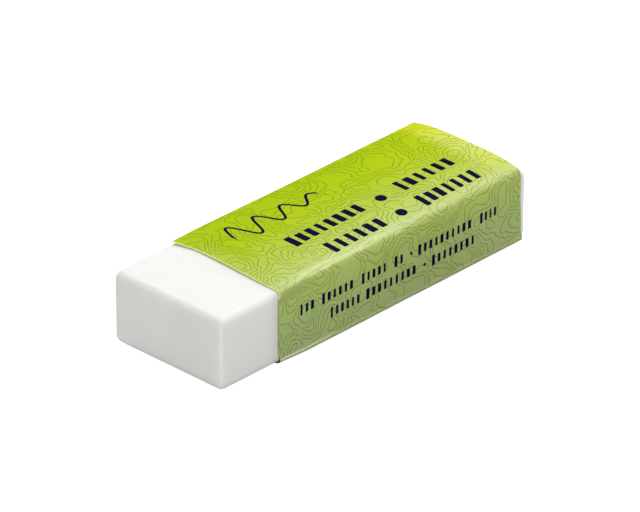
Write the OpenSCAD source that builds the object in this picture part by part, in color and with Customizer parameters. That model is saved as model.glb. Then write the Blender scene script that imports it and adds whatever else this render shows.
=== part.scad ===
// Block eraser in a folded card sleeve. The working end of the block looks
// along -X, +Z is up, and the origin is under the middle of the block, on the
// underside of the sleeve.

/* [Eraser block] */
// Length of the block, along X
block_length = 65; // [45:0.5:90]
// Width of the block, along Y
block_width = 21.7; // [14:0.1:36]
// Height of the block, along Z
block_height = 11.7; // [9:0.1:20]
// Rounding of the four long edges
long_edge_radius = 1; // [0.3:0.1:2.5]
// Rounding of the four upright edges at the two ends
upright_edge_radius = 0.9; // [0.3:0.1:2.5]
// Rounding of the upper and lower edges of the two ends
end_edge_radius = 1.1; // [0.3:0.1:2.5]

/* [Card sleeve] */
// Length of the sleeve, from its front mouth to its rear mouth
sleeve_length = 51.8; // [25:0.2:70]
// Thickness of the card
card_thickness = 0.25; // [0.15:0.05:0.6]
// Inner radius of the four folds
crease_radius = 0.95; // [0.3:0.05:2]
// How far the top panel bows up in its middle
top_bow = 0.7; // [0.1:0.05:1.5]
// Distance from the lower far fold to the raw edge of the outer bottom panel
seam_setback = 0.4; // [0:0.1:2]
// Distance from the lower near fold to the free edge of the glue flap
flap_setback = 1.2; // [0.2:0.1:3]

/* [Fit] */
// Gap between the block and the card at each narrow side
side_clearance = 0.1; // [0:0.05:0.6]
// Gap over the block beside the upper folds, while the block rests on the glue flap
top_clearance = 0.35; // [0.05:0.05:0.8]
// How far the block stands out of the front mouth
front_reach = 11.6; // [0:0.1:25]

/* [Hidden] */
$fn = 180;

// The block is centred lengthways on the origin, and the sleeve follows its front end
front_mouth = -block_length / 2 + front_reach;

// Inside of the sleeve: the block and its clearances
inside_width = block_width + 2 * side_clearance;
inside_height = block_height + top_clearance;

// Outer radius of each fold, whose inside can't be blunter than the edge in it allows
fold_radius = min(crease_radius, long_edge_radius + side_clearance) + card_thickness;

// Outside of the sleeve, up to its upper folds: one thickness of card all round, and
// two at the glued bottom
sleeve_width = inside_width + 2 * card_thickness;
sleeve_height = inside_height + 3 * card_thickness;

// Outer faces of the sleeve's two narrow sides
near_face = -sleeve_width / 2;
far_face = sleeve_width / 2;

// The glue flap lies on the outer bottom panel, and carries the block
flap_bottom = card_thickness;
flap_top = flap_bottom + card_thickness;

// Places across the sleeve, and heights, where its flat stretches meet the folds
near_fold_end = near_face + fold_radius;
far_fold_end = far_face - fold_radius;
near_side_bottom = fold_radius;
far_side_bottom = flap_bottom + fold_radius;
side_top = sleeve_height - fold_radius;

// The top panel is an arc that leaves both upper folds smoothly: how far its centre lies
// from theirs, how far below them, and its outer radius
bow_reach = (far_fold_end ^ 2 + top_bow ^ 2) / (2 * top_bow);
bow_drop = bow_reach - top_bow;
bow_radius = fold_radius + bow_reach;

// Quarters of a turn that a lower fold faces, counted from the upper far corner
lower_near = 2;
lower_far = 3;

// Rectangle with four rounded corners, centred on the origin
module rounded_rectangle(width, height, radius) {
    square([width - 2 * radius, height], center = true);
    square([width, height - 2 * radius], center = true);
    for (side = [-1, 1], end = [-1, 1])
        translate([side * (width / 2 - radius), end * (height / 2 - radius)])
            circle(radius);
}

// Moulded block: the shape that its cross-section, its plan and its side view share
module eraser_block() {
    color([0.95, 0.94, 0.93])
        translate([0, 0, flap_top + block_height / 2])
            intersection() {
                rotate([90, 0, 90])
                    linear_extrude(block_length, center = true)
                        rounded_rectangle(block_width, block_height, long_edge_radius);
                linear_extrude(block_height, center = true)
                    rounded_rectangle(block_length, block_width, upright_edge_radius);
                rotate([90, 0, 0])
                    linear_extrude(block_width, center = true)
                        rounded_rectangle(block_length, block_height, end_edge_radius);
            }
}

// Flat stretch of card between two corners of the cross-section
module panel(low, high) {
    translate(low) square(high - low);
}

// Quarter turn of card about a centre, joining two panels
module fold(centre, quarter) {
    translate(centre)
        rotate(90 * quarter)
            intersection() {
                difference() {
                    circle(fold_radius);
                    circle(fold_radius - card_thickness);
                }
                square(fold_radius);
            }
}

// All that lies under the bowed top between the two sides, drawn in by an inset
module roof_outline(inset) {
    intersection() {
        union() {
            for (fold_end = [near_fold_end, far_fold_end])
                translate([fold_end, side_top]) circle(fold_radius - inset);
            // the bow's arc, within a wedge that runs through both fold centres and past it
            translate([0, side_top - bow_drop])
                intersection() {
                    circle(bow_radius - inset);
                    polygon([[0, 0], 2 * [far_fold_end, bow_drop], 2 * [near_fold_end, bow_drop]]);
                }
        }
        translate([near_face, side_top]) square([sleeve_width, fold_radius + top_bow]);
    }
}

// Cross-section of the sleeve, in the order in which the strip is folded round the block
module folded_strip() {
    // glue flap, on the inside of the bottom
    panel([near_fold_end + flap_setback, flap_bottom], [far_fold_end, flap_top]);
    fold([far_fold_end, far_side_bottom], lower_far);
    // far panel
    panel([far_face - card_thickness, far_side_bottom], [far_face, side_top]);
    // top panel, bowed up between its folds
    difference() {
        roof_outline(0);
        roof_outline(card_thickness);
    }
    // near panel
    panel([near_face, near_side_bottom], [near_face + card_thickness, side_top]);
    fold([near_fold_end, near_side_bottom], lower_near);
    // outer bottom panel, glued under the flap
    panel([near_fold_end, 0], [far_fold_end - seam_setback, card_thickness]);
}

// One strip of printed card, folded round the block and glued along its bottom
module card_sleeve() {
    color([0.70, 0.80, 0.28])
        translate([front_mouth, 0, 0])
            rotate([90, 0, 90])
                linear_extrude(sleeve_length) folded_strip();
}

eraser_block();
card_sleeve();
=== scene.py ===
import math

import bpy
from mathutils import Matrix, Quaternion, Vector


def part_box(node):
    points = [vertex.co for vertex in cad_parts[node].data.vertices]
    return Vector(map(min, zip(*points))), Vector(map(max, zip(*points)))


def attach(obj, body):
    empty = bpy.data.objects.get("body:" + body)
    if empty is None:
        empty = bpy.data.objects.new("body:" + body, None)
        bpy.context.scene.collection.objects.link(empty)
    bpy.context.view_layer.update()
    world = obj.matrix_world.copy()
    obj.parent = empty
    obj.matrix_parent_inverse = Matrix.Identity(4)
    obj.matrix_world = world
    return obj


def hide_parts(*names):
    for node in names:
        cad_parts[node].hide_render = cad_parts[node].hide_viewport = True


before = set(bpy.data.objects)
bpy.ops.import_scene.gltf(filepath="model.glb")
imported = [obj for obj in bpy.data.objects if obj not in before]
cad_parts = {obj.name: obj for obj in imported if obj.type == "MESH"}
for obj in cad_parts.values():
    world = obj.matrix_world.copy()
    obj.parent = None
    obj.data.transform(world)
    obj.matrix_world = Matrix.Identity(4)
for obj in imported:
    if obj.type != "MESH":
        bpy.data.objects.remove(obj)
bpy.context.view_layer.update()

mm = 0.001
hair = 1e-6                        # places nearer than this are the same
smoothAngle = math.radians(40)     # an edge that turns more than this stays sharp
bpy.context.scene.tool_settings.mesh_select_mode = (True, False, False)


def editMode():
    bpy.ops.object.mode_set(mode="EDIT")


def objectMode():
    bpy.ops.object.mode_set(mode="OBJECT")


def makeActive(piece):
    bpy.ops.object.select_all(action="DESELECT")
    piece.select_set(True)
    bpy.context.view_layer.objects.active = piece


def applyModifier(piece, kind, name, **settings):
    modifier = piece.modifiers.new(name, kind)
    for key, value in settings.items():
        setattr(modifier, key, value)
    makeActive(piece)
    bpy.ops.object.modifier_apply(modifier=modifier.name)


# Marks exactly the points that pass the test, ready for edit mode
def selectPoints(piece, wanted):
    mesh = piece.data
    mesh.polygons.foreach_set("select", [False] * len(mesh.polygons))
    mesh.edges.foreach_set("select", [False] * len(mesh.edges))
    mesh.vertices.foreach_set("select", [bool(wanted(point)) for point in mesh.vertices])


# Pushes the marked points, and drags their surroundings along softly
def pushSoftly(piece, wanted, push, reach):
    selectPoints(piece, wanted)
    editMode()
    bpy.ops.transform.translate(value=push, use_proportional_edit=True,
                                proportional_edit_falloff="SMOOTH", proportional_size=reach)
    objectMode()


# Moves points one way, each by its own share of the reach
def shiftBy(piece, name, direction, reach, share):
    group = piece.vertex_groups.new(name=name)
    for point in piece.data.vertices:
        weight = share(point.co / mm)
        if weight > 0:
            group.add([point.index], min(1.0, weight), "REPLACE")
    applyModifier(piece, "DISPLACE", name, direction=direction, mid_level=0.0, strength=reach,
                  vertex_group=name)


# A slow unevenness, as card and soft vinyl have; it only ever goes inwards
def makeUneven(piece, name, depth, waveLength):
    waves = bpy.data.textures.new(name, "CLOUDS")
    waves.noise_scale = waveLength
    waves.noise_depth = 1
    applyModifier(piece, "DISPLACE", name, texture=waves, texture_coords="LOCAL",
                  direction="NORMAL", strength=depth, mid_level=1.0)


def shadeSmoothly(piece):
    makeActive(piece)
    bpy.ops.object.shade_smooth_by_angle(angle=smoothAngle)


# 0 before the start, 1 past the end, and a soft slope between them
def softStep(value, start, end):
    share = min(1.0, max(0.0, (value - start) / (end - start)))
    return share * share * (3 - 2 * share)


# Cuts straight across the whole mesh at each of these places
def cutAcross(places, direction):
    for place in places:
        bpy.ops.mesh.select_all(action="SELECT")
        bpy.ops.mesh.bisect(plane_co=Vector(direction) * place, plane_no=direction)


# The places between start and end that part them into this many equal steps
def evenly(start, end, count):
    return [start + (end - start) * step / count for step in range(1, count)]


# A colour given as the values that a paint program shows
def paint(red, green, blue):
    def plain(value):
        share = value / 255
        return share / 12.92 if share <= 0.04045 else ((share + 0.055) / 1.055) ** 2.4
    return (plain(red), plain(green), plain(blue), 1)


def plug(tree, value, socket):
    if isinstance(value, bpy.types.NodeSocket):
        tree.links.new(value, socket)
    else:
        socket.default_value = value


def addNode(tree, kind, inputs=None, **settings):
    made = tree.nodes.new("ShaderNode" + kind)
    for key, value in settings.items():
        setattr(made, key, value)
    for key, value in (inputs or {}).items():
        plug(tree, value, made.inputs[key])
    return made


def maths(tree, operation, *values):
    made = addNode(tree, "Math", operation=operation)
    for value, socket in zip(values, made.inputs):
        plug(tree, value, socket)
    return made.outputs[0]


def spread(tree, value, fromLow, fromHigh, toLow=0.0, toHigh=1.0, soft=True):
    made = addNode(tree, "MapRange", interpolation_type="SMOOTHSTEP" if soft else "LINEAR")
    for value, socket in zip((value, fromLow, fromHigh, toLow, toHigh), made.inputs):
        plug(tree, value, socket)
    return made.outputs[0]


def noise(tree, place, scale, detail=2.0, roughness=0.5):
    made = addNode(tree, "TexNoise", {"Vector": place, "Scale": scale, "Detail": detail,
                                      "Roughness": roughness})
    return made.outputs["Fac"]


def mixColours(tree, share, first, second, blend="MIX"):
    made = addNode(tree, "Mix", data_type="RGBA", blend_type=blend)
    plug(tree, share, made.inputs["Factor"])
    plug(tree, first, made.inputs[6])
    plug(tree, second, made.inputs[7])
    return made.outputs[2]


def roughen(tree, shader, height, strength, depth):
    bump = addNode(tree, "Bump", {"Height": height, "Strength": strength, "Distance": depth})
    plug(tree, bump.outputs[0], shader.inputs["Normal"])


def newMaterial(name):
    material = bpy.data.materials.new(name)
    material.use_nodes = True
    tree = material.node_tree
    return material, tree, tree.nodes["Principled BSDF"]


cameraSettings = {
    "aim": Vector((1.5935, 2.0342, 4.6332)) * mm,
    "distance": 1075.21 * mm,
    "azimuth": math.radians(-46.650),
    "elevation": math.radians(28.876),
    "roll": math.radians(0.2876),
    "lens": 410.656,
    "sensor": 36,
}


def placeCamera():
    say = cameraSettings
    away = Vector((math.sin(say["azimuth"]) * math.cos(say["elevation"]),
                   -math.cos(say["azimuth"]) * math.cos(say["elevation"]),
                   math.sin(say["elevation"])))
    level = (-away).to_track_quat("-Z", "Y")
    turned = level @ Quaternion((0, 0, 1), say["roll"])
    bpy.ops.object.camera_add(location=say["aim"] + away * say["distance"],
                              rotation=turned.to_euler())
    camera = bpy.context.object
    camera.data.lens = say["lens"]
    camera.data.sensor_width = say["sensor"]
    bpy.context.scene.camera = camera


placeCamera()
print("camera in place")


studio = {
    "floorSize": 6.0,
    "floorDrop": 0.03 * mm,        # keeps the floor clear of the underside of the card
    "floorColour": (0.55, 0.55, 0.545, 1),
    "floorGlow": 0.86,             # seen by the camera alone, so that the floor looks white
    "skyColour": (1, 1, 1, 1),
    "skyStrength": 0.30,
    "lights": {
        "backLight": {"place": (0.36, 0.36, 0.80), "size": 0.7, "watts": 6.5},
        "frontLight": {"place": (-0.93, -0.79, 0.445), "size": 0.7, "watts": 6.9},
        "rimLight": {"place": (1.05, -0.22, 0.28), "size": 0.4, "watts": 4.5},
    },
}


def layFloor():
    bpy.ops.mesh.primitive_plane_add(size=studio["floorSize"],
                                     location=(0, 0, -studio["floorDrop"]))
    floor = bpy.context.object
    floor.name = "studioFloor"
    material, tree, shader = newMaterial("floorPaper")
    tree.nodes.remove(shader)
    paper = addNode(tree, "BsdfDiffuse", {"Color": studio["floorColour"]})
    glow = addNode(tree, "Emission", {"Strength": studio["floorGlow"]})
    both = addNode(tree, "AddShader")
    seen = addNode(tree, "LightPath")
    pick = addNode(tree, "MixShader", {"Fac": seen.outputs["Is Camera Ray"]})
    tree.links.new(paper.outputs[0], both.inputs[0])
    tree.links.new(glow.outputs[0], both.inputs[1])
    tree.links.new(paper.outputs[0], pick.inputs[1])
    tree.links.new(both.outputs[0], pick.inputs[2])
    tree.links.new(pick.outputs[0], tree.nodes["Material Output"].inputs["Surface"])
    floor.data.materials.append(material)


# Each lamp is a soft square that looks at the middle of the floor
def hangLight(name, light):
    place = Vector(light["place"])
    bpy.ops.object.light_add(type="AREA", location=place,
                             rotation=(-place).to_track_quat("-Z", "Y").to_euler())
    lamp = bpy.context.object
    lamp.name = name
    lamp.data.shape = "SQUARE"
    lamp.data.size = light["size"]
    lamp.data.energy = light["watts"]


def paintSky():
    world = bpy.data.worlds.new("softStudio")
    world.use_nodes = True
    background = world.node_tree.nodes["Background"]
    background.inputs["Color"].default_value = studio["skyColour"]
    background.inputs["Strength"].default_value = studio["skyStrength"]
    bpy.context.scene.world = world


layFloor()
for lightName, light in studio["lights"].items():
    hangLight(lightName, light)
paintSky()
bpy.context.scene.view_settings.view_transform = "Standard"
print("floor and lights in place")


sleeve = {
    "card": 0.25 * mm,             # thickness of the card
    "foldRadius": 1.2 * mm,        # outside of each fold
    "foldSteps": 8,
    "seamSetback": 0.4 * mm,       # raw edge of the outer bottom panel, short of the far fold
    "flapSetback": 1.2 * mm,       # free edge of the glue flap, short of the near fold
    "glue": 0.02 * mm,
    "rowLength": 0.9 * mm,         # spacing of the cuts along the sleeve
    "columnWidth": 1.2 * mm,       # spacing of the cuts across a panel
    "bowHeight": 0.7 * mm,         # how far the top may stand above the folds
    "bowMouth": 0.10 * mm,         # how far it does at the mouth
    "bowRear": 0.68 * mm,          # and at the rear end
    # Wear at the mouth: which way the card has moved and how far, then in millimetres how far
    # in from the mouth this dies away and the stretch of y or z over which it comes on; the
    # tip loss is the share that the far fold is spared
    "worn": {
        "farSideBack": {"way": "X", "reach": 0.62 * mm, "run": 7, "across": (-9, 6),
                        "tipLoss": 0.6},
        "farFoldBack": {"way": "X", "reach": 1.20 * mm, "run": 6, "across": (9, 10),
                        "height": (12.5, 12.25)},
        "topBack": {"way": "X", "reach": 0.50 * mm, "run": 6, "height": (11.3, 12.6),
                    "tipLoss": 1},
        "topDown": {"way": "Z", "reach": -0.31 * mm, "run": 7, "height": (10.8, 12.4),
                    "tipLoss": 0.5},
        "farFoldUp": {"way": "Z", "reach": 0.20 * mm, "run": 24, "across": (9.6, 10.7),
                      "height": (11.4, 12.3)},
        "footUp": {"way": "Z", "reach": 0.30 * mm, "run": 7, "across": (-8.8, -9.8),
                   "height": (1.6, 0.45)},
        "footBack": {"way": "X", "reach": 0.48 * mm, "run": 4, "across": (-8.8, -9.8),
                     "height": (2.2, 0.45)},
    },
    "tip": (6.5, 11.2),
    # The near side stands out at the rear end: a little at its top, more at its middle and
    # most at its foot, each with its share and the stretch of z over which it comes on
    "rearOut": {"reach": 0.75 * mm, "run": 5, "across": (-6, -9.5), "topShare": 0.05,
                "middle": (0.22, 8, 4), "foot": (0.73, 2.5, 0.5)},
    "waveDepth": 0.05 * mm,
    "waveLength": 11 * mm,
    # Places in the baking map: the print is widest, and the inner side and the two kinds of
    # cut edge stand in strips beside it
    "bakeMap": {"printWidth": 0.93, "inside": 0.935, "insideWidth": 0.04, "longEdges": 0.98,
                "shortEdges": 0.99, "edgeWidth": 0.004, "nextEdge": 0.005},
}
sleeveLow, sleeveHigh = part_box("card_sleeve")
sleeveLength = sleeveHigh.x - sleeveLow.x
foldTop = sleeveHigh.z - sleeve["bowHeight"]


# The flat card, from the raw edge of the outer bottom panel to the glue flap: each stretch
# is a panel or a fold, and y runs across the card while the top panel already lies in place
def measureBlank():
    radius = sleeve["foldRadius"]
    chord = 2 * radius * math.sin(math.pi / 4 / sleeve["foldSteps"])
    fold = chord * sleeve["foldSteps"]
    width = sleeveHigh.y - sleeveLow.y - 2 * radius
    nearHeight = foldTop - 2 * radius
    farHeight = nearHeight - sleeve["card"] - sleeve["glue"]
    edges = [sleeveLow.y + radius]
    for stretch in (fold, nearHeight, fold, width - sleeve["seamSetback"]):
        edges.insert(0, edges[0] - stretch)
    edges.append(sleeveHigh.y - radius)
    for stretch in (fold, farHeight, fold, width - sleeve["flapSetback"]):
        edges.append(edges[-1] + stretch)
    return edges


blankEdges = measureBlank()
blankWidth = blankEdges[-1] - blankEdges[0]
blankStretches = list(zip(blankEdges[:-1], blankEdges[1:]))
panelStretches = blankStretches[0::2]
foldStretches = blankStretches[1::2]


def cutBlank():
    middle = Vector(((sleeveLow.x + sleeveHigh.x) / 2,
                     (blankEdges[0] + blankEdges[-1]) / 2, foldTop))
    bpy.ops.mesh.primitive_plane_add(size=1, location=middle)
    blank = bpy.context.object
    blank.name = "foldedSleeve"
    blank.scale = (sleeveLength, blankWidth, 1)
    bpy.ops.object.transform_apply(location=True, rotation=True, scale=True)
    blank.data.uv_layers[0].name = "cardBlank"
    across = []
    for start, end in panelStretches:
        columns = max(2, round((end - start) / sleeve["columnWidth"]))
        across += [start] + evenly(start, end, columns) + [end]
    for start, end in foldStretches:
        across += evenly(start, end, sleeve["foldSteps"])
    rows = round(sleeveLength / sleeve["rowLength"])
    editMode()
    cutAcross(sorted(set(across))[1:-1], (0, 1, 0))
    cutAcross(evenly(sleeveLow.x, sleeveHigh.x, rows), (1, 0, 0))
    objectMode()
    return blank


# Folds the card along one scored line after another, the outermost first
def foldBlank(blank):
    flat = [point.co.y for point in blank.data.vertices]
    steps = sleeve["foldSteps"]
    scores = []
    for start, end in foldStretches:
        for step in range(steps + 1):
            turn = math.pi / 2 / steps * (0.5 if step in (0, steps) else 1)
            scores.append((start + (end - start) * step / steps, turn))
    topMiddle = (blankEdges[4] + blankEdges[5]) / 2
    scores.sort(key=lambda score: -abs(score[0] - topMiddle))
    for line, turn in scores:
        side = 1 if line > topMiddle else -1
        selectPoints(blank, lambda point: (flat[point.index] - line) * side > hair)
        editMode()
        bpy.ops.transform.rotate(value=turn * side, orient_axis="X",
                                 center_override=(0, line, foldTop))
        objectMode()


# The top bows up a little, higher and flatter towards the rear end
def bowTop(card):
    halfWidth = (sleeveHigh.y - sleeve["foldRadius"]) / mm
    mouth, length, lowest = sleeveLow.x / mm, sleeveLength / mm, (foldTop - hair) / mm

    def share(place):
        side = place.y / halfWidth
        if place.z < lowest or abs(side) > 1:
            return 0
        run = (place.x - mouth) / length
        crest = (sleeve["bowMouth"] * (1 - run) * (1 - side ** 2)
                 + sleeve["bowRear"] * run * (1 - side ** 4))
        return crest / sleeve["bowHeight"]

    shiftBy(card, "topBow", "Z", sleeve["bowHeight"], share)


# Nothing on worn card is quite square: at the mouth the top sits back and down, the far side
# sits back and the near side hugs the block at its foot, and the rear end stands out
def wearCard(card):
    mouth, rear = sleeveLow.x / mm, sleeveHigh.x / mm

    def shareAtMouth(place, wear):
        share = softStep(place.x, mouth + wear["run"], mouth)
        if "across" in wear:
            share *= softStep(place.y, *wear["across"])
        if "height" in wear:
            share *= softStep(place.z, *wear["height"])
        return share * (1 - wear.get("tipLoss", 0) * softStep(place.y, *sleeve["tip"]))

    for name, wear in sleeve["worn"].items():
        shiftBy(card, name, wear["way"], wear["reach"], lambda place: shareAtMouth(place, wear))

    out = sleeve["rearOut"]

    def shareAtRear(place):
        share = out["topShare"]
        for part, start, end in (out["middle"], out["foot"]):
            share += part * softStep(place.z, start, end)
        return share * softStep(place.y, *out["across"]) * softStep(place.x, rear - out["run"], rear)

    shiftBy(card, "nearRearOut", "X", out["reach"], shareAtRear)
    card.vertex_groups.clear()


# A second map with no overlaps, for baking
def layBakeMap(card, outerCount):
    strips = sleeve["bakeMap"]
    places = [tuple(corner.uv) for corner in card.data.uv_layers["cardBlank"].data]
    bakeMap = card.data.uv_layers.new(name="OFBake").data
    for face in card.data.polygons:
        corners = [places[loop] for loop in face.loop_indices]
        onLongEdge = max(x for x, y in corners) - min(x for x, y in corners) > hair
        for loop in face.loop_indices:
            along, across = places[loop]
            isInner = card.data.loops[loop].vertex_index >= outerCount
            deep = strips["edgeWidth"] * isInner
            if face.material_index == 0:
                spot = (across * strips["printWidth"], along)
            elif face.material_index == 1:
                spot = (strips["inside"] + across * strips["insideWidth"], along)
            elif onLongEdge:
                spot = (strips["longEdges"] + deep + strips["nextEdge"] * (across > 0.5), along)
            else:
                spot = (strips["shortEdges"] + deep + strips["nextEdge"] * (along > 0.5), across)
            bakeMap[loop].uv = spot


def makeSleeve():
    card = cutBlank()
    print("card blank cut,", len(card.data.vertices), "points")
    foldBlank(card)
    bowTop(card)
    wearCard(card)
    print("card folded and bowed")
    makeUneven(card, "cardWaves", sleeve["waveDepth"], sleeve["waveLength"])
    outerCount = len(card.data.vertices)
    for material in (printedCard(), plainCard(), cardCore()):
        card.data.materials.append(material)
    applyModifier(card, "SOLIDIFY", "cardThickness", thickness=sleeve["card"] - sleeve["glue"],
                  offset=-1, use_even_offset=True, material_offset=1, material_offset_rim=2)
    layBakeMap(card, outerCount)
    shadeSmoothly(card)
    return card


# Places on the card in millimetres: along runs from the middle of the block towards
# its rear end, and across is 0 on the near upper fold, more on the top, less on the side
mouthAt = sleeveLow.x / mm
foldMiddle = (blankEdges[3] + blankEdges[4]) / 2
lowFoldAt = (blankEdges[2] - foldMiddle) / mm

printing = {
    # The card's ground colour across its width: the print's own gradient, with painted sheen in the
    # paler, bluer stops on the near side and towards the near upper fold
    "greensAndSheen": [(-33, paint(176, 193, 126)), (-13, paint(176, 193, 126)),
               (-11, paint(174, 190, 126)), (-7, paint(172, 191, 124)),
               (-3.5, paint(177, 197, 116)), (-1.2, paint(184, 203, 114)),
               (1.1, paint(192, 208, 126)), (3.9, paint(192, 211, 101)),
               (6.7, paint(186, 204, 80)), (9.5, paint(181, 205, 60)),
               (12.3, paint(179, 203, 24)), (15.1, paint(177, 202, 6)),
               (17.9, paint(173, 200, 1)), (24, paint(172, 199, 1)),
               (34, paint(182, 202, 60))],
    # Layers over the green, one after another: how each mixes, its colour, and the steps that
    # bound it, each with what it reads, its start and end, and the shares there if not 0 and 1
    "tints": [
        # paler at the mouth
        ("MIX", paint(192, 212, 118), [("along", mouthAt, mouthAt + 4.0, 0.35, 0.0),
                                       ("across", 0.0, 3.0), ("across", 14.0, 19.0, 1.0, 0.1)]),
        # a little brighter towards the rear
        ("MULTIPLY", (1.05, 1.02, 0.85, 1), [("along", 2.0, 28.0), ("across", -1.0, 2.0)]),
        # duller at the middle of the near side
        ("MULTIPLY", (0.93, 0.93, 0.91, 1), [("across", -2.0, -0.5, 1.0, 0.0),
                                             ("along", -12.0, 4.0),
                                             ("along", 16.0, 26.0, 1.0, -0.6)]),
        # slow clouds in the ink
        ("MULTIPLY", (1.04, 1.01, 0.86, 1), [("clouds", 0.35, 0.65, 0.0, 0.5)]),
    ],
    "cloudScale": 0.09,
    # Painted highlight: the rear end of the top, which faces the back light, is painted brighter and
    # more yellow, and the far side of that more so
    "rearHighlights": (paint(218, 227, 108), paint(222, 229, 30)),
    "rearEnd": [("along", 25.8, 29.2), ("across", 0.0, 6.0, 0.0, 0.85)],
    "rearFarEnd": [("across", 12.0, 21.0)],
    "contours": {
        "tint": paint(170, 188, 128),
        "halfWidth": (0.028, 0.098),   # where a line begins and ends to fade
        "scale": 0.10,
        "levels": 26.0,
        "start": (57.0, 23.0, 0.0),    # picks a stretch of land
        "bendScale": 0.4,
        "bendSize": 2.6,
        "flat": (0.1, 0.5),            # slopes that are too gentle for a fine line
        "crowded": (1.9, 3.6, 1.0, 0.0),
        "stride": 0.04,                # how far apart the slope is measured
    },
    # Layers over the contours: wear of the ink, and painted shade and painted highlights along the
    # folds
    "worn": [
        # painted shade below the near fold, next to the mouth, which makes the fold look sharper
        # there
        ("MIX", paint(162, 178, 102), [("along", -18.5, -12.0, 0.8, 0.0),
                                       ("across", -2.4, -1.2), ("across", -0.3, 0.4, 1.0, 0.0)]),
        # the ink has rubbed thin in streaks along the near upper fold, and the band is also painted
        # paler as the fold's highlight
        ("MIX", paint(226, 236, 172), [("ragged", -0.15, 0.2), ("ragged", 0.7, 2.6, 0.8, 0.0),
                                       ("streaks", 0.35, 0.6, 0.35, 1.0),
                                       ("along", -21.0, -13.0, 0.3, 1.0),
                                       ("along", 0.0, 12.0, 1.0, 0.4)]),
        # it is gone from the very edge of the mouth along the top
        ("MIX", paint(216, 230, 132), [("along", mouthAt + 0.04, mouthAt + 0.18, 0.75, 0.0),
                                       ("across", -1.6, -0.6)]),
        # and in one narrow strip at the lower fold: rubbed ink next to the mouth, and a fainter
        # painted highlight along the rest of the fold
        ("MIX", paint(232, 238, 206), [("fromLowFold", 0.14, 0.42, 0.95, 0.0),
                                       ("along", -18.0, -5.0, 1.0, 0.25)]),
    ],
    "ragScale": 0.35,
    "ragSize": 1.4,
    "calmMouth": (-20.0, -8.0, 0.1, 1.0),  # the low strip runs straighter near the mouth
    "stripDrop": 0.1,
    "streakStretch": (0.22, 1.6, 1),
    "ink": paint(4, 8, 48),
    "inkEdge": (-0.04, 0.04, 1.0, 0.0),
    "barRows": [
        # start, how many bars, spacing, bar width, middle, height, height of the first
        (-10.0, 8, 1.96, 1.03, 8.35, 2.5, 3.0),
        (13.0, 6, 2.02, 1.07, 8.40, 2.5, 3.0),
        (-7.3, 6, 2.04, 1.07, 3.25, 2.5, 3.0),
        (12.3, 7, 1.84, 0.99, 3.30, 2.5, 3.0),
        (-16.8, 3, 1.15, 0.53, -4.68, 1.45, 1.8),
        (-12.2, 6, 1.18, 0.55, -4.68, 1.45, 1.8),
        (-3.8, 5, 1.15, 0.53, -4.68, 1.45, 1.8),
        (3.2, 2, 1.20, 0.57, -4.68, 1.45, 1.8),
        (8.3, 10, 1.20, 0.55, -4.68, 1.45, 1.8),
        (21.8, 4, 1.00, 0.47, -4.68, 1.45, 1.8),
        (-10.4, 6, 1.12, 0.53, -7.62, 1.45, 1.8),
        (-2.8, 9, 1.24, 0.58, -7.62, 1.45, 1.8),
        (11.3, 8, 1.22, 0.56, -7.62, 1.45, 1.8),
    ],
    "rowSeed": 17.0,
    "barCorner": 0.22,             # as shares of a bar's width: its corner radius,
    "barThinnest": 0.40,           # half the width of the thinnest bar
    "barVaries": 0.22,             # and how much more half the widest has
    "dots": [(9.3, 8.0, 0.92), (8.45, 3.1, 0.92), (7.1, -4.6, 0.28), (10.0, -7.6, 0.28)],
    "wave": {"start": -14.0, "end": 3.8, "middle": 15.8, "height": 2.7, "lastHeight": 0.945,
             "length": 5.2, "stroke": 0.23},
    "varnish": {"fibreScale": 3.2, "roughness": (0.36, 0.46), "bumpScale": 6.0,
                "bumpStrength": 0.08, "bumpDepth": 0.05 * mm, "gloss": 0.03, "inkDulls": -0.02},
}


# Distance in millimetres to the nearest bar of a row of round-cornered bars
def barRow(tree, along, across, row, seed):
    start, count, spacing, width, middle, height, firstHeight = row
    corner = printing["barCorner"] * width
    steps = maths(tree, "DIVIDE", maths(tree, "SUBTRACT", along, start), spacing)
    lowest = maths(tree, "MAXIMUM", maths(tree, "FLOOR", steps), 0.0)
    cell = maths(tree, "MINIMUM", lowest, count - 1.0)
    centre = maths(tree, "MULTIPLY_ADD", cell, spacing, start + spacing / 2)
    chance = addNode(tree, "TexWhiteNoise", {"W": maths(tree, "ADD", cell, seed + 0.5)},
                     noise_dimensions="1D").outputs["Value"]
    halfWidth = maths(tree, "MULTIPLY_ADD", chance, printing["barVaries"] * width,
                      printing["barThinnest"] * width - corner)
    first = maths(tree, "LESS_THAN", cell, 0.5)
    halfHeight = maths(tree, "MULTIPLY_ADD", first, (firstHeight - height) / 2,
                       height / 2 - corner)
    aside = maths(tree, "SUBTRACT",
                  maths(tree, "ABSOLUTE", maths(tree, "SUBTRACT", along, centre)), halfWidth)
    above = maths(tree, "SUBTRACT",
                  maths(tree, "ABSOLUTE", maths(tree, "SUBTRACT", across, middle)), halfHeight)
    gap = addNode(tree, "CombineXYZ", {"X": maths(tree, "MAXIMUM", aside, 0.0),
                                       "Y": maths(tree, "MAXIMUM", above, 0.0)})
    reach = addNode(tree, "VectorMath", {0: gap.outputs[0]}, operation="LENGTH")
    return maths(tree, "SUBTRACT", reach.outputs["Value"], corner)


def roundDot(tree, along, across, dot):
    centreAlong, centreAcross, radius = dot
    gap = addNode(tree, "CombineXYZ", {"X": maths(tree, "SUBTRACT", along, centreAlong),
                                       "Y": maths(tree, "SUBTRACT", across, centreAcross)})
    reach = addNode(tree, "VectorMath", {0: gap.outputs[0]}, operation="LENGTH")
    return maths(tree, "SUBTRACT", reach.outputs["Value"], radius)


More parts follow.
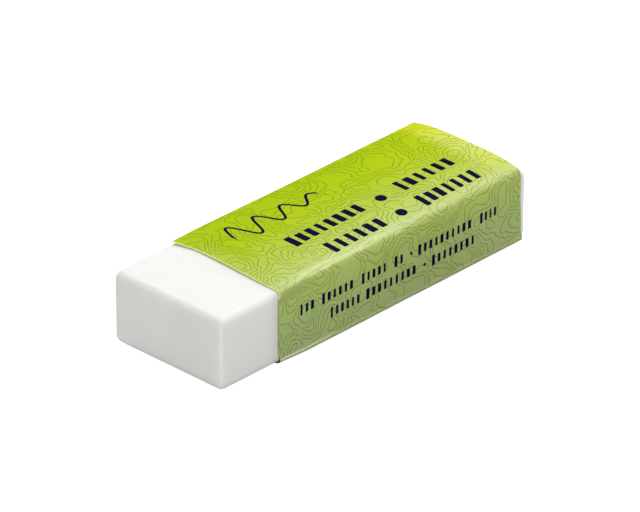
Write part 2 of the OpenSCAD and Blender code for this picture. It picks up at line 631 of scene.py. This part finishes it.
# A thin wave that dies away, like a pencil trying its point
def pencilWave(tree, along, across, wave):
    run = wave["end"] - wave["start"]
    fromStart = maths(tree, "SUBTRACT", along, wave["start"])
    fade = spread(tree, fromStart, 0.0, run, wave["height"], wave["lastHeight"], soft=False)
    turn = maths(tree, "MULTIPLY", fromStart, 2 * math.pi / wave["length"])
    height = maths(tree, "MULTIPLY", maths(tree, "SINE", turn), fade)
    slope = maths(tree, "MULTIPLY", maths(tree, "COSINE", turn),
                  maths(tree, "MULTIPLY", fade, 2 * math.pi / wave["length"]))
    steep = maths(tree, "SQRT", maths(tree, "MULTIPLY_ADD", slope, slope, 1.0))
    off = maths(tree, "SUBTRACT", maths(tree, "SUBTRACT", across, wave["middle"]), height)
    fromLine = maths(tree, "DIVIDE", maths(tree, "ABSOLUTE", off), steep)
    fromMiddle = maths(tree, "ABSOLUTE", maths(tree, "SUBTRACT", fromStart, run / 2))
    past = maths(tree, "SUBTRACT", fromMiddle, run / 2)
    return maths(tree, "SUBTRACT", maths(tree, "MAXIMUM", fromLine, past), wave["stroke"])


# Level lines of a made-up hilly land, all of one width
def contourLines(tree, place):
    land = printing["contours"]
    stride, size = land["stride"], land["bendSize"]

    def height(shift):
        start = Vector(land["start"]) + Vector(shift)
        moved = addNode(tree, "VectorMath", {0: place, 1: start}, operation="ADD").outputs[0]
        bends = addNode(tree, "TexNoise", {"Vector": moved, "Scale": land["bendScale"],
                                           "Detail": 3.0, "Roughness": 0.55}).outputs["Color"]
        centred = addNode(tree, "VectorMath", {0: bends, 1: (0.5, 0.5, 0.5)}, operation="SUBTRACT")
        bent = addNode(tree, "VectorMath", {0: centred.outputs[0], 1: (size, size, 0), 2: moved},
                       operation="MULTIPLY_ADD")
        hills = noise(tree, bent.outputs[0], land["scale"], 1.0)
        return maths(tree, "MULTIPLY", hills, land["levels"])

    here = height((0, 0, 0))
    slopes = addNode(tree, "CombineXYZ", {
        "X": maths(tree, "SUBTRACT", height((stride, 0, 0)), here),
        "Y": maths(tree, "SUBTRACT", height((0, stride, 0)), here)})
    slope = addNode(tree, "VectorMath", {0: slopes.outputs[0]}, operation="LENGTH")
    steep = maths(tree, "MAXIMUM", maths(tree, "DIVIDE", slope.outputs["Value"], stride), 0.05)
    level = maths(tree, "ABSOLUTE", maths(tree, "SUBTRACT", maths(tree, "FRACT", here), 0.5))
    line = spread(tree, maths(tree, "DIVIDE", level, steep), *land["halfWidth"], 1.0, 0.0)
    clear = maths(tree, "MULTIPLY", spread(tree, steep, *land["flat"]),
                  spread(tree, steep, *land["crowded"]))
    return maths(tree, "MULTIPLY", line, clear)


# The place on the flat card in millimetres, and all that the layers of print read
def readCard(tree):
    blankMap = addNode(tree, "UVMap", uv_map="cardBlank")
    placed = addNode(tree, "Mapping", {
        "Vector": blankMap.outputs[0],
        "Location": (mouthAt, (blankEdges[0] - foldMiddle) / mm, 0),
        "Scale": (sleeveLength / mm, blankWidth / mm, 1)})
    place = placed.outputs[0]
    apart = addNode(tree, "SeparateXYZ", {0: place})
    along, across = apart.outputs["X"], apart.outputs["Y"]
    rag = maths(tree, "SUBTRACT", noise(tree, place, printing["ragScale"], 3.0), 0.5)
    wander = maths(tree, "MULTIPLY", rag, printing["ragSize"])
    calm = maths(tree, "MULTIPLY", wander, spread(tree, along, *printing["calmMouth"]))
    strip = maths(tree, "SUBTRACT", maths(tree, "ADD", across, calm),
                  lowFoldAt - printing["stripDrop"])
    stretched = addNode(tree, "Mapping", {"Vector": place, "Scale": printing["streakStretch"]})
    return place, {
        "along": along,
        "across": across,
        "clouds": noise(tree, place, printing["cloudScale"], 3.0),
        "ragged": maths(tree, "ADD", across, wander),
        "streaks": noise(tree, stretched.outputs[0], 1.0, 3.0),
        "fromLowFold": maths(tree, "ABSOLUTE", strip),
    }


# How much of a layer shows: the product of its soft steps
def patch(tree, readings, steps):
    share = 1.0
    for reading, *ends in steps:
        share = maths(tree, "MULTIPLY", share, spread(tree, readings[reading], *ends))
    return share


def paintLayers(tree, green, readings, layers):
    for blend, colour, steps in layers:
        green = mixColours(tree, patch(tree, readings, steps), green, colour, blend)
    return green


# The ground colour across the card, with the painted sheen in its paler stops
def groundGreen(tree, across):
    greensAndSheen = printing["greensAndSheen"]
    lowest, highest = greensAndSheen[0][0], greensAndSheen[-1][0]
    ramp = addNode(tree, "ValToRGB", {"Fac": spread(tree, across, lowest, highest, soft=False)})
    stops = ramp.color_ramp.elements
    stops.remove(stops[-1])
    for number, (stop, colour) in enumerate(greensAndSheen):
        share = (stop - lowest) / (highest - lowest)
        element = stops[0] if number == 0 else stops.new(share)
        element.position = share
        element.color = colour
    return ramp.outputs["Color"]


# 1 where the bars, the dots and the wave are inked, and 0 elsewhere
def inkedMarks(tree, along, across):
    marks = [barRow(tree, along, across, row, printing["rowSeed"] * number)
             for number, row in enumerate(printing["barRows"])]
    marks += [roundDot(tree, along, across, dot) for dot in printing["dots"]]
    marks.append(pencilWave(tree, along, across, printing["wave"]))
    nearest = marks[0]
    for mark in marks[1:]:
        nearest = maths(tree, "MINIMUM", nearest, mark)
    return spread(tree, nearest, *printing["inkEdge"])


def printedCard():
    material, tree, shader = newMaterial("printedCard")
    place, readings = readCard(tree)
    green = groundGreen(tree, readings["across"])
    green = paintLayers(tree, green, readings, printing["tints"])
    # painted highlight at the rear end of the top
    rearHighlight = mixColours(tree, patch(tree, readings, printing["rearFarEnd"]),
                        *printing["rearHighlights"])
    green = mixColours(tree, patch(tree, readings, printing["rearEnd"]), green, rearHighlight)
    green = mixColours(tree, contourLines(tree, place), green, printing["contours"]["tint"],
                       "MULTIPLY")
    green = paintLayers(tree, green, readings, printing["worn"])
    inked = inkedMarks(tree, readings["along"], readings["across"])
    plug(tree, mixColours(tree, inked, green, printing["ink"]), shader.inputs["Base Color"])

    # satin varnish over card fibres
    varnish = printing["varnish"]
    fibres = noise(tree, place, varnish["fibreScale"], 3.0, 0.6)
    plug(tree, spread(tree, fibres, 0.3, 0.7, *varnish["roughness"]), shader.inputs["Roughness"])
    roughen(tree, shader, noise(tree, place, varnish["bumpScale"]), varnish["bumpStrength"],
            varnish["bumpDepth"])
    gloss = maths(tree, "MULTIPLY_ADD", inked, varnish["inkDulls"], varnish["gloss"])
    plug(tree, gloss, shader.inputs["Specular IOR Level"])
    return material


bareCard = {
    "inside": (paint(216, 224, 140), paint(230, 236, 160)),
    "insideScale": 900.0,
    "insideRoughness": 0.85,
    "bumpStrength": 0.3,
    "bumpDepth": 0.03 * mm,
    "paleEdge": (paint(218, 230, 136), paint(236, 244, 168)),
    # painted shade down the near side's cut edge, and painted shadow in the hollow at the lower
    # corner
    "paintedShadeEdge": (paint(138, 146, 102), paint(166, 172, 128)),
    "paintedShadowEdge": (paint(30, 31, 22), paint(52, 54, 40)),
    "edgeScale": 1500.0,
    "edgeRoughness": 0.8,
    "paleAbove": (foldTop - 1.8 * mm, foldTop - 1.0 * mm),
    "paleBeyond": (7 * mm, 9 * mm),
    "darkBelow": (0.9 * mm, 2.0 * mm, 1.0, 0.0),
}


# Bare uncoated card on the inside
def plainCard():
    material, tree, shader = newMaterial("plainCard")
    place = addNode(tree, "TexCoord").outputs["Object"]
    fleck = noise(tree, place, bareCard["insideScale"], 4.0, 0.6)
    tone = mixColours(tree, spread(tree, fleck, 0.35, 0.7), *bareCard["inside"])
    plug(tree, tone, shader.inputs["Base Color"])
    roughen(tree, shader, fleck, bareCard["bumpStrength"], bareCard["bumpDepth"])
    shader.inputs["Roughness"].default_value = bareCard["insideRoughness"]
    return material


# Cut edge: pale along the top and the far side, painted darker down the near side as shade, and
# painted near black as shadow in the hollow at the lower corner
def cardCore():
    material, tree, shader = newMaterial("cardCore")
    place = addNode(tree, "TexCoord").outputs["Object"]
    apart = addNode(tree, "SeparateXYZ", {0: place})
    across, height = apart.outputs["Y"], apart.outputs["Z"]
    flecked = spread(tree, noise(tree, place, bareCard["edgeScale"], 3.0, 0.6), 0.3, 0.7)
    pale, paintedShade, dark = (mixColours(tree, flecked, *bareCard[tones])
                          for tones in ("paleEdge", "paintedShadeEdge", "paintedShadowEdge"))
    # where the cut edge keeps its own pale colour, free of the painted shade
    unshaded = maths(tree, "MAXIMUM", spread(tree, height, *bareCard["paleAbove"]),
                  spread(tree, across, *bareCard["paleBeyond"]))
    low = spread(tree, height, *bareCard["darkBelow"])
    tone = mixColours(tree, unshaded, mixColours(tree, low, paintedShade, dark), pale)
    plug(tree, tone, shader.inputs["Base Color"])
    shader.inputs["Roughness"].default_value = bareCard["edgeRoughness"]
    return material


foldedSleeve = makeSleeve()
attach(foldedSleeve, "sleeve")
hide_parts("card_sleeve")
print("sleeve made,", len(foldedSleeve.data.polygons), "faces")


block = {
    "uprightRadius": 0.7 * mm,
    "endTopRadius": 1.4 * mm,      # the largest of these
    "nearTopRadius": 1.2 * mm,
    "farTopRadius": 0.6 * mm,
    "lowerRadius": 1.2 * mm,
    "edgeSteps": 6,
    "margin": 1.7 * mm,            # no cut across a face lies nearer than this to its edges
    "columns": 26,
    "rows": 9,
    "layers": 5,
    "sink": 0.06 * mm,             # how far the middle of an end lies in after cooling
    "sinkCore": (3 * mm, 2 * mm),  # half the width and height of that middle
    "sinkReach": 8 * mm,
    "waveDepth": 0.03 * mm,
    "waveLength": 7 * mm,
    "tones": (paint(243, 241, 238), paint(246, 245, 242)),
    "cloudScale": 110.0,
    "grainScale": 1400.0,
    "grainStrength": 0.12,
    "grainDepth": 0.04 * mm,
    "roughness": (0.40, 0.52),
    "gloss": 0.35,
    "milkiness": 0.25,             # light that goes in and comes out again nearby
    "milkDepth": 1.2 * mm,
    "milkColour": (1.0, 0.9, 0.8),
}


# How much each edge of the plain bar is rounded, as a share of the largest radius
def weighEdges(bar, low, high):
    weights = bar.data.attributes.new("bevel_weight_edge", "FLOAT", "EDGE")
    for edge in bar.data.edges:
        first, second = (bar.data.vertices[index].co for index in edge.vertices)

        def bothAt(axis, place):
            return abs(first[axis] - place) < hair and abs(second[axis] - place) < hair

        atEnd = bothAt(0, low.x) or bothAt(0, high.x)
        atNear, atFar = bothAt(1, low.y), bothAt(1, high.y)
        below, onTop = bothAt(2, low.z), bothAt(2, high.z)
        radius = 0
        if atEnd and (atNear or atFar):
            radius = block["uprightRadius"]
        elif onTop and atEnd:
            radius = block["endTopRadius"]
        elif onTop and atNear:
            radius = block["nearTopRadius"]
        elif onTop and atFar:
            radius = block["farTopRadius"]
        elif below and (atEnd or atNear or atFar):
            radius = block["lowerRadius"]
        weights.data[edge.index].value = radius / block["endTopRadius"]


# Cuts the bar across one axis, evenly between margins at both ends
def cutEvenly(axis, low, high, count):
    start, end = low[axis] + block["margin"], high[axis] - block["margin"]
    direction = [0, 0, 0]
    direction[axis] = 1
    cutAcross([start] + evenly(start, end, count) + [end], direction)


def makeBlock():
    low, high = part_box("eraser_block")
    middle = (low + high) / 2
    bpy.ops.mesh.primitive_cube_add(size=1, location=middle)
    bar = bpy.context.object
    bar.name = "vinylBlock"
    bar.scale = high - low
    bpy.ops.object.transform_apply(location=True, rotation=True, scale=True)
    editMode()
    for axis, count in enumerate((block["columns"], block["rows"], block["layers"])):
        cutEvenly(axis, low, high, count)
    objectMode()
    weighEdges(bar, low, high)
    applyModifier(bar, "BEVEL", "roundEdges", width=block["endTopRadius"], limit_method="WEIGHT",
                  segments=block["edgeSteps"], use_clamp_overlap=False)
    coreWidth, coreHeight = block["sinkCore"]
    for end, push in ((low.x, block["sink"]), (high.x, -block["sink"])):
        pushSoftly(bar, lambda point: abs(point.co.x - end) < hair
                   and abs(point.co.y - middle.y) < coreWidth
                   and abs(point.co.z - middle.z) < coreHeight,
                   (push, 0, 0), block["sinkReach"])
    makeUneven(bar, "vinylWaves", block["waveDepth"], block["waveLength"])
    shadeSmoothly(bar)
    return bar


def whiteVinyl():
    material, tree, shader = newMaterial("whiteVinyl")
    place = addNode(tree, "TexCoord").outputs["Object"]
    cloud = noise(tree, place, block["cloudScale"], 3.0)
    plug(tree, mixColours(tree, spread(tree, cloud, 0.3, 0.7), *block["tones"]),
         shader.inputs["Base Color"])
    plug(tree, spread(tree, cloud, 0.3, 0.7, *block["roughness"]), shader.inputs["Roughness"])
    roughen(tree, shader, noise(tree, place, block["grainScale"], 3.0, 0.6),
            block["grainStrength"], block["grainDepth"])
    shader.inputs["Specular IOR Level"].default_value = block["gloss"]
    shader.inputs["Subsurface Weight"].default_value = block["milkiness"]
    shader.inputs["Subsurface Scale"].default_value = block["milkDepth"]
    shader.inputs["Subsurface Radius"].default_value = block["milkColour"]
    return material


vinylBlock = makeBlock()
vinylBlock.data.materials.append(whiteVinyl())
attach(vinylBlock, "block")
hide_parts("eraser_block")
print("block made,", len(vinylBlock.data.polygons), "faces")
